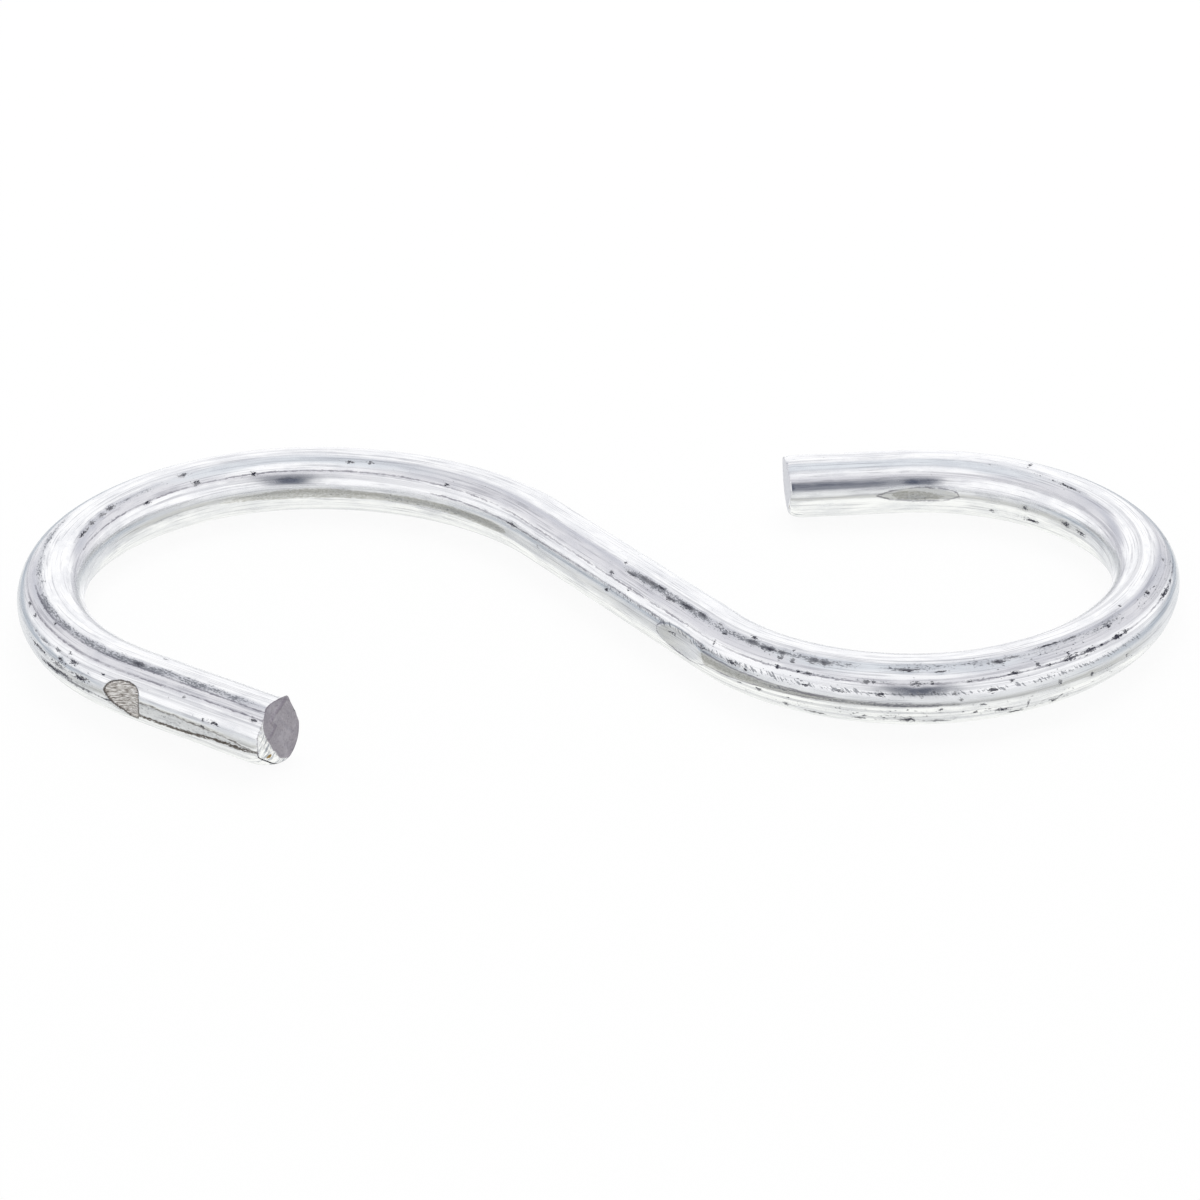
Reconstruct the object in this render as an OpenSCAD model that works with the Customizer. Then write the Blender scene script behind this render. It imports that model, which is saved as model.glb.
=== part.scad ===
// Strap hook: an S hook bent from one length of round zinc plated steel wire, lying flat.
//
// A straight shank joins two open eyes. Each eye is bent in three steps, each of its own
// radius, and ends in a short straight tail that a shear cut off. The wide eye stays well
// open. The tight eye curls further round, so that its tail points back at the shank.
//
// Units are millimetres. The hook rests on Z = 0 with +Z up, +X runs along its length, and
// the origin is under the middle of its outline.

/* [Wire] */
// Diameter of the wire
wire_d = 4; // [3:0.1:6]
// Length of the straight shank between the two eyes
shank_l = 18.8; // [12:0.1:30]
// Angle between the shank and the length of the hook
shank_lean = 56.4; // [45:0.1:65]

/* [Wide eye] */
// Centreline radius of the bend next to the shank
wide_first_r = 18.7; // [12:0.1:24]
// Angle of the bend next to the shank
wide_first_a = 52.8; // [40:0.1:70]
// Centreline radius of the bend round the far side of the eye
wide_far_r = 14.3; // [10:0.1:20]
// Angle of the bend round the far side of the eye
wide_far_a = 90; // [65:0.1:110]
// Centreline radius of the bend that leads into the tail
wide_last_r = 16.4; // [10:0.1:22]
// Angle of the bend that leads into the tail
wide_last_a = 57.3; // [40:0.1:75]
// Length of the straight tail, up to the middle of its sheared face
wide_tail_l = 10.4; // [6:0.1:16]

/* [Tight eye] */
// Centreline radius of the bend next to the shank
tight_first_r = 13.1; // [10:0.1:18]
// Angle of the bend next to the shank
tight_first_a = 80.4; // [60:0.1:97]
// Centreline radius of the bend round the far side of the eye
tight_far_r = 16.2; // [12:0.1:20]
// Angle of the bend round the far side of the eye
tight_far_a = 49.5; // [35:0.1:65]
// Centreline radius of the bend that leads into the tail
tight_last_r = 12.8; // [10:0.1:16]
// Angle of the bend that leads into the tail
tight_last_a = 110.4; // [85:0.1:130]
// Length of the straight tail, up to the middle of its sheared face
tight_tail_l = 7.1; // [4:0.1:9]

/* [Sheared ends] */
// Lean of the tight eye's sheared face, whose top stands out
tight_face_lean = 4; // [0:0.5:8]
// Swing of the wide eye's sheared face, whose outer side stands out
wide_face_swing = 6; // [0:0.5:10]
// How far round from straight below the shear blade bit in
bite_turn = 40; // [30:5:80]
// Radius of the edge that the blade rolled over as it bit in
roll_r = 1.6; // [0.9:0.1:2]
// Depth of that rolled edge, in from the wire's surface
roll_depth = 0.45; // [0.2:0.05:0.6]
// Height that the torn burr stands out of the wire, across from the bite
burr_h = 0.25; // [0.1:0.05:0.5]
// Length of the burr along the wire
burr_l = 1.1; // [0.6:0.1:1.6]
// Width of the burr across the wire
burr_w = 1.4; // [0.8:0.1:2]

/* [Tool marks] */
// Radius of the roller that pressed the outside of the shank, where the tight eye begins
roller_r = 12; // [8:0.5:18]
// Depth of the roller's dent
roller_dent = 0.17; // [0.05:0.01:0.3]
// Distance of the roller's dent from the end of the shank
roller_dent_in = 1.7; // [0:0.1:4]
// Radius of the pin that pressed the inside of the tight eye, where its tail begins
pin_r = 6; // [4:0.5:8]
// Depth of the pin's dent
pin_dent = 0.12; // [0.05:0.01:0.3]
// Distance of the pin's dent from the start of the tail
pin_dent_in = 0.4; // [0:0.1:3]
// Radius of the jaw that bit the gouge outside the wide eye, where its tail begins
jaw_r = 2.8; // [2:0.1:5]
// Depth of the jaw's gouge
jaw_gouge = 0.28; // [0.1:0.01:0.4]
// Distance of the jaw's gouge from the start of the tail
jaw_gouge_out = 0.5; // [0:0.1:4]

/* [Hidden] */
$fa = 4;
$fs = 0.3;

wire_r = wire_d / 2;
// The bends of each eye, from the shank outwards: radius and angle
wide_eye = [[wide_first_r, wide_first_a], [wide_far_r, wide_far_a], [wide_last_r, wide_last_a]];
tight_eye = [[tight_first_r, tight_first_a], [tight_far_r, tight_far_a], [tight_last_r, tight_last_a]];
// Share of each bend, and of the shank, that is drawn from either of its ends. Drawn past
// the middle, the two shares overlap there on the same round surface.
share = 0.6;
// Spare wire past each sheared face, for the shear to take away
spare = wire_d;
// How far the round of a rolled edge starts outside the wire
roll_lift = 0.06;
// How far the burr's tip leans out past the face, and how far down the face its foot reaches
burr_out = burr_h / 3;
burr_foot = 3 * burr_h;
// Bright zinc plating
zinc = [0.78, 0.79, 0.81];
// Step along a bend at which the hook's outline is measured, in degrees
measure_step = 0.5;

// A place is [x, y, heading] on the wire's centreline. Both eyes turn to the left as the
// wire leaves the shank, so the same rules walk along either of them.
function ahead(p, l) = [p[0] + l * cos(p[2]), p[1] + l * sin(p[2]), p[2]];
function along_bend(p, r, a) = [
    p[0] + r * (sin(p[2] + a) - sin(p[2])),
    p[1] - r * (cos(p[2] + a) - cos(p[2])),
    p[2] + a
];
// The wire's surface beside a place: side 1 is on the left, inside the eye, and -1 outside it
function beside(p, side) = [p[0] - side * wire_r * sin(p[2]), p[1] + side * wire_r * cos(p[2])];
// Points along one side of an eye and its tail, from the place where it leaves the shank
function outline(p, eye, tail_l, side, i = 0) =
    i == len(eye) ? [beside(ahead(p, tail_l), side)] : concat(
        [for (a = [0 : measure_step : eye[i][1]]) beside(along_bend(p, eye[i][0], a), side)],
        outline(along_bend(p, eye[i][0], eye[i][1]), eye, tail_l, side, i + 1)
    );

tight_start = ahead([0, 0, -shank_lean], shank_l / 2);
wide_start = ahead([0, 0, 180 - shank_lean], shank_l / 2);
edge = [for (side = [-1, 1]) each concat(
    outline(tight_start, tight_eye, tight_tail_l, side),
    outline(wide_start, wide_eye, wide_tail_l - side * wire_r * tan(wide_face_swing), side)
)];
middle_x = (min([for (q = edge) q[0]]) + max([for (q = edge) q[0]])) / 2;
middle_y = (min([for (q = edge) q[1]]) + max([for (q = edge) q[1]])) / 2;

// Straight wire from X = from to X = to
module straight(from, to) {
    translate([from, 0, 0]) rotate([0, 90, 0]) cylinder(d = wire_d, h = to - from);
}

// Bent wire that passes the origin along +X, drawn from one angle of its bend to another
module bent(r, from, to) {
    translate([0, r, 0]) rotate_extrude(start = from - 90, angle = to - from) translate([r, 0]) circle(d = wire_d);
}

// Carries children from the start of a bend to its end
module past_bend(r, a) {
    translate([0, r, 0]) rotate(a) translate([0, -r, 0]) children();
}

// Carries children from the start of an eye to the start of its tail
module at_tail(eye, i = 0) {
    if (i < len(eye)) past_bend(eye[i][0], eye[i][1]) at_tail(eye, i + 1) children();
    else children();
}

// Carries children to the end of the shank where the tight or the wide eye begins
module at_tight() {
    rotate(-shank_lean) translate([shank_l / 2, 0, 0]) children();
}
module at_wide() {
    rotate(180 - shank_lean) translate([shank_l / 2, 0, 0]) children();
}

// The wire of one eye, with its share of the shank and with spare wire on its tail. Each
// pass draws the wire on both sides of one joint, where the two radii meet square on.
module eye_wire(eye, tail_l, i = 0) {
    if (i == 0) straight(-share * shank_l, 0);
    else bent(eye[i - 1][0], -share * eye[i - 1][1], 0);
    if (i == len(eye)) straight(0, tail_l + spare);
    else bent(eye[i][0], 0, share * eye[i][1]);
    if (i < len(eye)) past_bend(eye[i][0], eye[i][1]) eye_wire(eye, tail_l, i + 1);
}

// The waste at a sheared end. The blade bit in from below and from one side, rolled that
// edge over, and broke off the rest in a flat face that leans or swings out of square.
module shear_waste(side, lean, swing) {
    rotate([0, lean, swing]) translate([0, -wire_d, -wire_d]) cube([2 * spare, 2 * wire_d, 2 * wire_d]);
    rotate([side * bite_turn, 0, 0]) roll_waste();
}

// The waste outside the rolled edge, with the blade biting in from straight below
module roll_waste() {
    centre_x = -sqrt(roll_r ^ 2 - (roll_r - roll_lift - roll_depth) ^ 2);
    centre_z = roll_r - roll_lift - wire_r;
    translate([centre_x, 0, centre_z]) difference() {
        translate([0, -wire_d, -2 * roll_r]) cube([2 * roll_r, 2 * wire_d, 2 * roll_r]);
        rotate([90, 0, 0]) cylinder(r = roll_r, h = 3 * wire_d, center = true);
    }
}

// The torn tongue left standing on a sheared face, straight above the bite
module burr() {
    rotate([90, 0, 0]) translate([0, 0, -burr_w / 2]) linear_extrude(burr_w)
        polygon([[-burr_l, wire_r - burr_h], [burr_out, wire_r + burr_h], [0, wire_r - burr_foot]]);
}

// A dent pressed square across the wire from one side by a round tool. Only the near part
// of the tool is drawn, so that it clears the rest of the hook.
module dent(tool_r, depth, side) {
    intersection() {
        translate([0, side * (wire_r + tool_r - depth), 0]) cylinder(r = tool_r, h = wire_d, center = true);
        translate([0, side * wire_r, 0]) cube([2 * wire_d, wire_d, 2 * wire_d], center = true);
    }
}

module strap_hook() {
    color(zinc) translate([-middle_x, -middle_y, wire_r]) {
        difference() {
            union() {
                at_tight() eye_wire(tight_eye, tight_tail_l);
                at_wide() eye_wire(wide_eye, wide_tail_l);
            }
            at_tight() at_tail(tight_eye) translate([tight_tail_l, 0, 0]) shear_waste(1, tight_face_lean, 0);
            at_wide() at_tail(wide_eye) translate([wide_tail_l, 0, 0]) shear_waste(-1, 0, wide_face_swing);
            at_tight() translate([-roller_dent_in, 0, 0]) dent(roller_r, roller_dent, -1);
            at_tight() at_tail(tight_eye) translate([-pin_dent_in, 0, 0]) dent(pin_r, pin_dent, 1);
            at_wide() at_tail(wide_eye) translate([jaw_gouge_out, 0, 0]) dent(jaw_r, jaw_gouge, -1);
        }
        at_wide() at_tail(wide_eye) translate([wide_tail_l, 0, 0]) rotate([-bite_turn, 0, 0]) burr();
    }
}

strap_hook();
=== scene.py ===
import math
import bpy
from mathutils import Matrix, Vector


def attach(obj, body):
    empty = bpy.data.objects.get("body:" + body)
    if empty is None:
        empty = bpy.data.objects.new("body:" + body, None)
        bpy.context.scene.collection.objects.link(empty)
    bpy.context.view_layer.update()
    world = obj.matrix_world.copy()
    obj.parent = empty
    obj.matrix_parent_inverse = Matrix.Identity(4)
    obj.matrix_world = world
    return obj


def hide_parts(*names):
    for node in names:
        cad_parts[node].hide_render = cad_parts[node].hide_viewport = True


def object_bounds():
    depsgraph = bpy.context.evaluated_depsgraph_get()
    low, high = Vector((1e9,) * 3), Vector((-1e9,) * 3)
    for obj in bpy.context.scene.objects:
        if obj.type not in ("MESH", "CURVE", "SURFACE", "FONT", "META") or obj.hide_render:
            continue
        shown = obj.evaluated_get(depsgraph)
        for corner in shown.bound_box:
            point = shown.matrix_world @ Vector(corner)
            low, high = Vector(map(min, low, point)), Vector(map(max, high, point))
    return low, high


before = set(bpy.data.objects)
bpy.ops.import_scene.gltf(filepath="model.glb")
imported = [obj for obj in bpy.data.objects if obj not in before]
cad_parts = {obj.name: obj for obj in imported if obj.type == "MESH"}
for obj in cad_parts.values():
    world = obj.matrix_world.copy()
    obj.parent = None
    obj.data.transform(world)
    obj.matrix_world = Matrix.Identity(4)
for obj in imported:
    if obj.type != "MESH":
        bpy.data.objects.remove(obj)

from types import SimpleNamespace

import bpy
import numpy as np
from mathutils import Matrix

CAD_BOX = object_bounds()

# The hook's centreline in millimetres, as the CAD draws it
MM = 0.001
WIRE_R = 2.0
SHANK_L = 18.8
SHANK_LEAN = math.radians(56.4)
WIDE_EYE = ((18.7, 52.8), (14.3, 90.0), (16.4, 57.3))
TIGHT_EYE = ((13.1, 80.4), (16.2, 49.5), (12.8, 110.4))
WIDE_TAIL = 10.4
TIGHT_TAIL = 7.1

# Mesh density: vertices around the wire, and the step along it in millimetres
AROUND = 96
DIRECTIONS = np.arange(AROUND) * 360 / AROUND
STEP = 0.19
END_STEP = 0.06
CAP_RINGS = 30
END_REACH = 1.6

# Tool marks: their middles along the wire. A dent has its middle, the side it is on, the
# tool's radius and its depth. The tight tail's is as long and shallow as the photograph
# shows it, where the CAD has a plain short one.
GOUGE_S = -66.0
ROLLER_S = 7.7
PIN_S = 65.2
DENTS = ((ROLLER_S, 180, 12.0, 0.17), (PIN_S, 0, 56.0, 0.075), (GOUGE_S, 0, 2.8, 0.28))
# Where the mesh is finer around each mark: how far from its middle, and the step there
FINE_RINGS = ((GOUGE_S, 1.9, 0.09), (ROLLER_S, 2.4, 0.13), (PIN_S, 3.2, 0.15))

# Directions around the wire, in degrees: 0 is left of travel from the wide end to the tight
# end, 90 is the top, 180 the right. In an end's own frame 0 is left of walking out to it.


def legs(eye, tail):
    """Straight and bent legs of half the wire, from the shank's middle: length, curvature."""
    bends = [(r * math.radians(a), 1 / r) for r, a in eye]
    return [(SHANK_L / 2, 0.0)] + bends + [(tail, 0.0)]


def half_length(eye, tail):
    """Length of the wire from the shank's middle to one end."""
    return sum(length for length, _ in legs(eye, tail))


WIDE_S = -half_length(WIDE_EYE, WIDE_TAIL)
TIGHT_S = half_length(TIGHT_EYE, TIGHT_TAIL)


def step_on(place, length, curve):
    """Place [x, y, heading] after a length of constant curvature."""
    x, y, h = place
    if curve == 0.0:
        return [x + length * np.cos(h), y + length * np.sin(h), h + 0 * length]
    turn = h + length * curve
    dx = (np.sin(turn) - math.sin(h)) / curve
    dy = (math.cos(h) - np.cos(turn)) / curve
    return [x + dx, y + dy, turn]


def walk(distance, eye, tail):
    """Places at distances from the shank's middle, along one eye."""
    out = np.zeros((3, len(distance)))
    place = [0.0, 0.0, -SHANK_LEAN]
    passed = 0.0
    for length, curve in legs(eye, tail):
        on = distance >= passed - 1e-9
        out[:, on] = step_on(place, distance[on] - passed, curve)
        place = step_on(place, length, curve)
        passed += length
    return out


def centreline(s):
    """Places at signed lengths along the wire: negative in the wide eye."""
    wide = walk(-s, WIDE_EYE, WIDE_TAIL) * np.array([[-1], [-1], [1]])
    tight = walk(s, TIGHT_EYE, TIGHT_TAIL)
    return np.where(s < 0, wide, tight)


def ring_places():
    """Lengths along the wire at which the mesh has a ring, closer at the ends and marks."""
    places = [WIDE_S]
    while places[-1] < TIGHT_S:
        s = places[-1]
        from_end = min(s - WIDE_S, TIGHT_S - s)
        step = END_STEP if from_end < END_REACH else STEP
        for middle, reach, short in FINE_RINGS:
            if abs(s - middle) < reach:
                step = min(step, short)
        places.append(s + step)
    places = np.array(places)
    return WIDE_S + (places - WIDE_S) * (TIGHT_S - WIDE_S) / (places[-1] - WIDE_S)


# Marks on the unrolled wire, as length along it and direction: points picked in the
# photograph, carried onto the wire through the fitted camera and adjusted. First the bare
# steel in the gouge, and the scrape that runs on from it to the wide end.
GOUGE_OUTLINE = (
    (-64.7, 8), (-64.9, 19), (-65.2, 27), (-65.7, 33), (-66.4, 35), (-66.9, 32), (-67.2, 25),
    (-67.3, 12), (-67.25, -5), (-67.1, -22), (-66.9, -31), (-66.5, -31), (-66.0, -26),
    (-65.5, -21), (-65.1, -12), (-64.9, -3),
)
SCRAPE_OUTLINE = (
    (-67.2, 7), (-68.2, 7.5), (-69.2, 6), (-70.2, 7), (-71.0, 5), (-72.0, 4), (-72.9, 3.4),
    (-73.6, 2), (-74.5, -1), (-75.0, -4), (-76.3, -6), (-76.3, -9), (-75.3, -9), (-74.7, -10),
    (-74.0, -9), (-73.1, -10), (-72.1, -12.5), (-71.1, -15.5), (-70.0, -18), (-69.0, -18.5),
    (-68.1, -20), (-67.2, -18),
)
# The torn lower edge of that scrape
TEAR = (
    (-67.0, -20), (-68.1, -20.5), (-69.0, -19), (-70.0, -18.6), (-71.1, -16), (-72.1, -13),
    (-73.1, -10.5), (-74.0, -9.6), (-74.7, -10.5), (-75.3, -9.2), (-76.3, -8.5),
)
TEAR_HALF_W = 0.09

# Fine dark lines drawn on the wire: along the roller dent and the wedge scuffed beside it,
# along the wire's own drawing grooves, and around the pin dent
SCORES = (
    ((9.9, 158), (8.6, 156), (7.4, 156), (6.5, 159), (5.9, 165), (5.6, 173), (5.6, 183),
     (5.9, 191), (6.5, 197), (7.6, 203), (8.8, 203), (9.7, 197), (10.2, 190.5), (12, 189),
     (14, 185.5), (17, 182.5), (20, 181.5), (24, 181)),
    ((9.6, 162), (9.9, 167), (11, 169.5), (12.6, 171.5), (15, 174), (18, 177), (24, 178)),
    ((-48, 141), (-36, 141.5), (-20, 141), (-10, 143.5), (0, 144), (8, 143), (14, 144.8),
     (22, 144.5), (28, 143), (36, 142), (46, 140)),
    ((-18, 160), (-10, 162), (-2, 158.5), (6, 158.5)),
    ((-76.3, 62.5), (-70, 63), (-62, 64.5), (-54, 66)),
    ((-76, 49), (-68, 47.5), (-60, 48.5), (-54, 50)),
    ((62.2, -2), (62.4, 7), (63.4, 12), (65.2, 13), (67, 9), (68.1, 0), (67.2, -9),
     (65.6, -15), (63.4, -13), (62.2, -2)),
)
SCORE_HALF_W = 0.045

# Olive patches: under the far arc, a painted reflection of the table's shadow in front of the
# wire; the wedge beside the roller dent and under the near arm, rubbed dull and darkened by the
# same painted reflection; in the pin dent, rubbed dull
RUB_AND_SHADOW_REFLECTION = (
    ((-35, 185), (-32, 181), (-29, 175), (-26, 173), (-23, 175), (-20, 174), (-16, 174),
     (-12, 174.5), (-11, 178), (-10.8, 184), (-11.4, 190), (-12.6, 193), (-15, 191),
     (-18, 189), (-22, 191), (-26, 194), (-29, 196), (-32, 192)),
    ((9.8, 166), (12, 170), (15, 173.5), (20, 177), (24, 178.5), (24.3, 181), (22, 183.5),
     (17, 184), (14, 187), (12, 189.5), (10.1, 191.5)),
    ((63.2, -4), (64.4, 4), (65.6, 7), (66.7, 8), (67.2, 1), (66.8, -9), (65.4, -14), (63.9, -11)),
)

# Pits and scuffs placed as the marks above: length along the wire, direction, half length,
# half width
PITS = (
    (-62.1, 28, 0.36, 0.11), (-61.0, 20, 0.18, 0.12), (-60.9, 8, 0.55, 0.15),
    (-62.8, 9, 0.62, 0.15), (-63.4, 11, 0.2, 0.1), (-61.3, -3, 0.8, 0.12),
    (-62.6, -9, 1.1, 0.1), (-60.2, -6, 1.2, 0.14), (-58.6, 10, 1.0, 0.09),
    (-59.0, 28, 0.5, 0.08), (-60.6, 31, 0.3, 0.08), (-61.6, 39, 0.14, 0.08),
    (-56.8, 44, 0.14, 0.12), (-55.4, 45, 0.2, 0.1), (-57.8, 29, 0.14, 0.07),
    (-58.9, 62, 0.14, 0.09), (-64.5, -10, 0.5, 0.06),
    (-72.85, 18.5, 0.28, 0.1), (-72.1, 17, 0.07, 0.1), (-72.1, 5.8, 0.14, 0.06),
    (-75.4, 44, 0.18, 0.08), (-70.4, 42.6, 0.08, 0.06), (-66.3, 70, 0.4, 0.16),
    (-69.4, 32.7, 0.05, 0.05), (-67.3, 103.9, 0.16, 0.09), (-64.5, 31.6, 0.14, 0.05),
    (-36.0, 115, 0.3, 0.14), (-35.4, 137.9, 0.24, 0.15), (-31.2, 140.6, 0.22, 0.14),
    (-39.7, 142.7, 0.26, 0.08), (-42.5, 119, 0.4, 0.14), (-43.7, 122, 0.34, 0.13),
    (-45.0, 122, 0.3, 0.12), (-46.4, 124, 0.7, 0.08), (-24.4, 122, 0.22, 0.1),
    (-23.0, 120.9, 0.16, 0.09), (-17.0, 138.5, 0.2, 0.12),
    (-10.2, 162, 0.5, 0.09), (-7.2, 171, 0.16, 0.08),
    (14.7, 143.5, 0.12, 0.1), (15.9, 143.5, 0.09, 0.08), (16.4, 143.0, 0.22, 0.08),
    (19.4, 143.5, 0.17, 0.11), (19.8, 143.2, 0.09, 0.08), (21.9, 143.6, 0.28, 0.11),
    (22.7, 142.8, 0.08, 0.07), (24.6, 144, 0.17, 0.06), (27.0, 141.5, 0.34, 0.1),
    (29.1, 142.5, 0.17, 0.09), (30.55, 141.8, 0.42, 0.13), (31.7, 141.8, 0.5, 0.13),
    (32.7, 142, 0.1, 0.08), (34.0, 141.8, 0.34, 0.13), (34.8, 141.5, 0.22, 0.1),
    (39.9, 141.8, 0.7, 0.12), (41.4, 141.5, 0.3, 0.08), (46.4, 140, 0.2, 0.1),
    (12.1, 163, 0.24, 0.1), (9.9, 162, 0.3, 0.08), (13.0, 166, 0.1, 0.07),
    (16.4, 163, 0.16, 0.08), (18.2, 163, 0.2, 0.07), (25.7, 163, 0.26, 0.1),
    (23.8, 161.5, 0.1, 0.1), (24.1, 173, 0.09, 0.1), (20.2, 163, 0.17, 0.1),
    (26.8, 152.5, 0.14, 0.06), (28.4, 135.5, 0.12, 0.14), (30.4, 133, 0.1, 0.08),
    (31.6, 181.5, 0.17, 0.1), (29.5, 174.5, 0.12, 0.15), (34.4, 180, 0.1, 0.08),
    (23.1, 188.5, 0.2, 0.06), (25.2, 185.5, 0.14, 0.07), (24.9, 200, 0.1, 0.1),
    (21.5, 213, 0.36, 0.2), (23.0, 217, 0.6, 0.1), (26.3, 204, 0.36, 0.12),
    (27.7, 202, 0.06, 0.3), (27.1, 217, 0.4, 0.1), (29.4, 214, 0.2, 0.16),
    (15.3, 209, 0.16, 0.16), (16.8, 218, 0.6, 0.1), (19.1, 214, 0.3, 0.1),
    (13.8, 192.5, 0.14, 0.1), (12.6, 193, 0.16, 0.06), (19.4, 206, 0.14, 0.08),
    (0.3, 168, 0.14, 0.1), (0.2, 137, 0.16, 0.1), (0.5, 109, 0.12, 0.12),
    (3.1, 115, 0.85, 0.13), (1.6, 121, 0.5, 0.08), (4.4, 113, 0.3, 0.1),
    (5.6, 121, 0.45, 0.07), (7.2, 116, 0.6, 0.1), (8.6, 115, 0.4, 0.12),
    (10.2, 112, 0.2, 0.07), (10.9, 123, 0.13, 0.1), (12.7, 118, 0.34, 0.17),
    (13.8, 118.5, 0.34, 0.1), (14.7, 128, 0.14, 0.15), (15.4, 128, 0.12, 0.14),
    (14.7, 119, 0.2, 0.14), (16.5, 119, 0.24, 0.2), (17.1, 121, 0.3, 0.14),
    (12.6, 108, 0.18, 0.12), (15.2, 108, 0.06, 0.1), (10.6, 145, 0.06, 0.16),
    (21.4, 120, 0.5, 0.08), (23.2, 124, 0.3, 0.06), (26.4, 117, 0.3, 0.13),
    (27.2, 113, 0.4, 0.07), (29.6, 108, 0.8, 0.06), (33.9, 120, 0.14, 0.14),
    (36.0, 101, 0.1, 0.1), (38.6, 117, 0.17, 0.12), (31.0, 110, 0.5, 0.07),
    (6.95, 172, 0.42, 0.09), (2.2, 148, 0.09, 0.06),
    (51.3, 0, 0.5, 0.12), (53.1, 0, 0.45, 0.15), (57.0, 0, 0.17, 0.1),
    (56.5, -24, 0.5, 0.13), (59.7, -23, 0.24, 0.1), (57.9, 89, 0.1, 0.24),
    (54.3, 66, 0.9, 0.07), (43.0, 118, 0.14, 0.1),
)
# Sets of pits stored side by side, so that none overlaps another of its set; how far a pit
# is followed, in its half sizes; and a value that stands for nothing near
MARK_LAYERS = 6
PIT_REACH = 2.2
FAR_OFF = 9.0
# Farther than any two points of the unrolled wire that are compared
NO_LINE = 99.0


def turned(around, middle):
    """Directions from a middle one, between -180 and 180 degrees."""
    return (around - middle + 180) % 360 - 180


def arc(around, middle):
    """Millimetres round the wire from a direction."""
    return np.radians(turned(around, middle)) * WIRE_R


def soft_min(a, b, soft):
    """The lesser of two, rounded where they cross."""
    return (a + b - np.sqrt((a - b) ** 2 + soft**2)) / 2


def waves(s, around, seed, count, lengths, rounds):
    """Smooth seeded unevenness between about -1 and 1, closed around the wire."""
    rng = np.random.default_rng(seed)
    total = np.zeros(np.broadcast(s, around).shape)
    for _ in range(count):
        along = 2 * math.pi / rng.uniform(*lengths)
        turns = rng.integers(rounds[0], rounds[1] + 1)
        phase = rng.uniform(0, 2 * math.pi)
        total += np.sin(along * s + turns * np.radians(around) + phase)
    return total / math.sqrt(count)


def tool_cut(s, around, middle, side, tool_r, depth):
    """Radius that a round tool, pressed in square from one side, leaves of the wire."""
    facing = np.cos(np.radians(turned(around, side)))
    least = 0.3
    limit = WIRE_R - depth + (s - middle) ** 2 / (2 * tool_r)
    return np.where(facing > least, limit / np.maximum(facing, least), FAR_OFF)


def off_piece(x, y, run, rise):
    """Distance from a straight piece that starts at 0, 0."""
    share = np.clip((x * run + y * rise) / (run**2 + rise**2), 0, 1)
    return np.hypot(x - share * run, y - share * rise)


def beside_lines(s, around, lines):
    """Signed distance across the nearest line on the unrolled wire, and plain distance."""
    plain = np.full(np.broadcast(s, around).shape, NO_LINE)
    signed = plain
    for line in lines:
        for (s0, a0), (s1, a1) in zip(line, line[1:]):
            x, y = s - s0, arc(around, a0)
            run, rise = s1 - s0, math.radians(a1 - a0) * WIRE_R
            away = off_piece(x, y, run, rise)
            nearer = away < plain
            plain = np.where(nearer, away, plain)
            signed = np.where(nearer, np.where(x * rise < y * run, -away, away), signed)
    return signed, plain


def off_line(s, around, line):
    """Distance from one line on the unrolled wire."""
    return beside_lines(s, around, (line,))[1]


def inside_outline(s, around, outline):
    """Distance inside an outline drawn on the unrolled wire, less than 0 outside it."""
    side = outline[0][1]
    x = s + 0 * around
    y = arc(around, side) + 0 * s
    crossed = np.zeros(x.shape, bool)
    corners = [(a, math.radians(b - side) * WIRE_R) for a, b in outline]
    for (x0, y0), (x1, y1) in zip(corners, corners[1:] + corners[:1]):
        spans = (y0 > y) != (y1 > y)
        if y1 != y0:
            crossed ^= spans & (x < x0 + (y - y0) * (x1 - x0) / (y1 - y0))
    away = off_line(s, around, outline + outline[:1])
    return np.where(crossed, away, -away)


def body_radius(s, around):
    """Radius of the wire all along: drawing waves, dents, gouge, scrape and pits."""
    r = WIRE_R - 0.006 - 0.003 * waves(s, around, 3, 14, (60, 160), (3, 15))
    r -= 0.005 * waves(s, around, 5, 10, (9, 30), (0, 4))
    for middle, side, tool_r, depth in DENTS:
        r = soft_min(r, tool_cut(s, around, middle, side, tool_r, depth), 0.008)
    rough = waves(s, around, 11, 30, (0.35, 1.6), (8, 30))
    scraped = np.clip(inside_outline(s, around, SCRAPE_OUTLINE) / 0.08 + 0.5, 0, 1)
    r -= 0.035 * scraped * (1 + 0.2 * rough)
    bitten = np.clip(inside_outline(s, around, GOUGE_OUTLINE) / 0.1 + 0.3, 0, 1)
    r -= 0.07 * bitten + 0.008 * bitten * rough
    for middle, side, half_l, half_w in PITS:
        off = ((s - middle) / (half_l + 0.05)) ** 2 + (arc(around, side) / (half_w + 0.06)) ** 2
        r -= 0.03 * np.exp(-1.4 * off)
    return np.minimum(r, WIRE_R)


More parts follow.
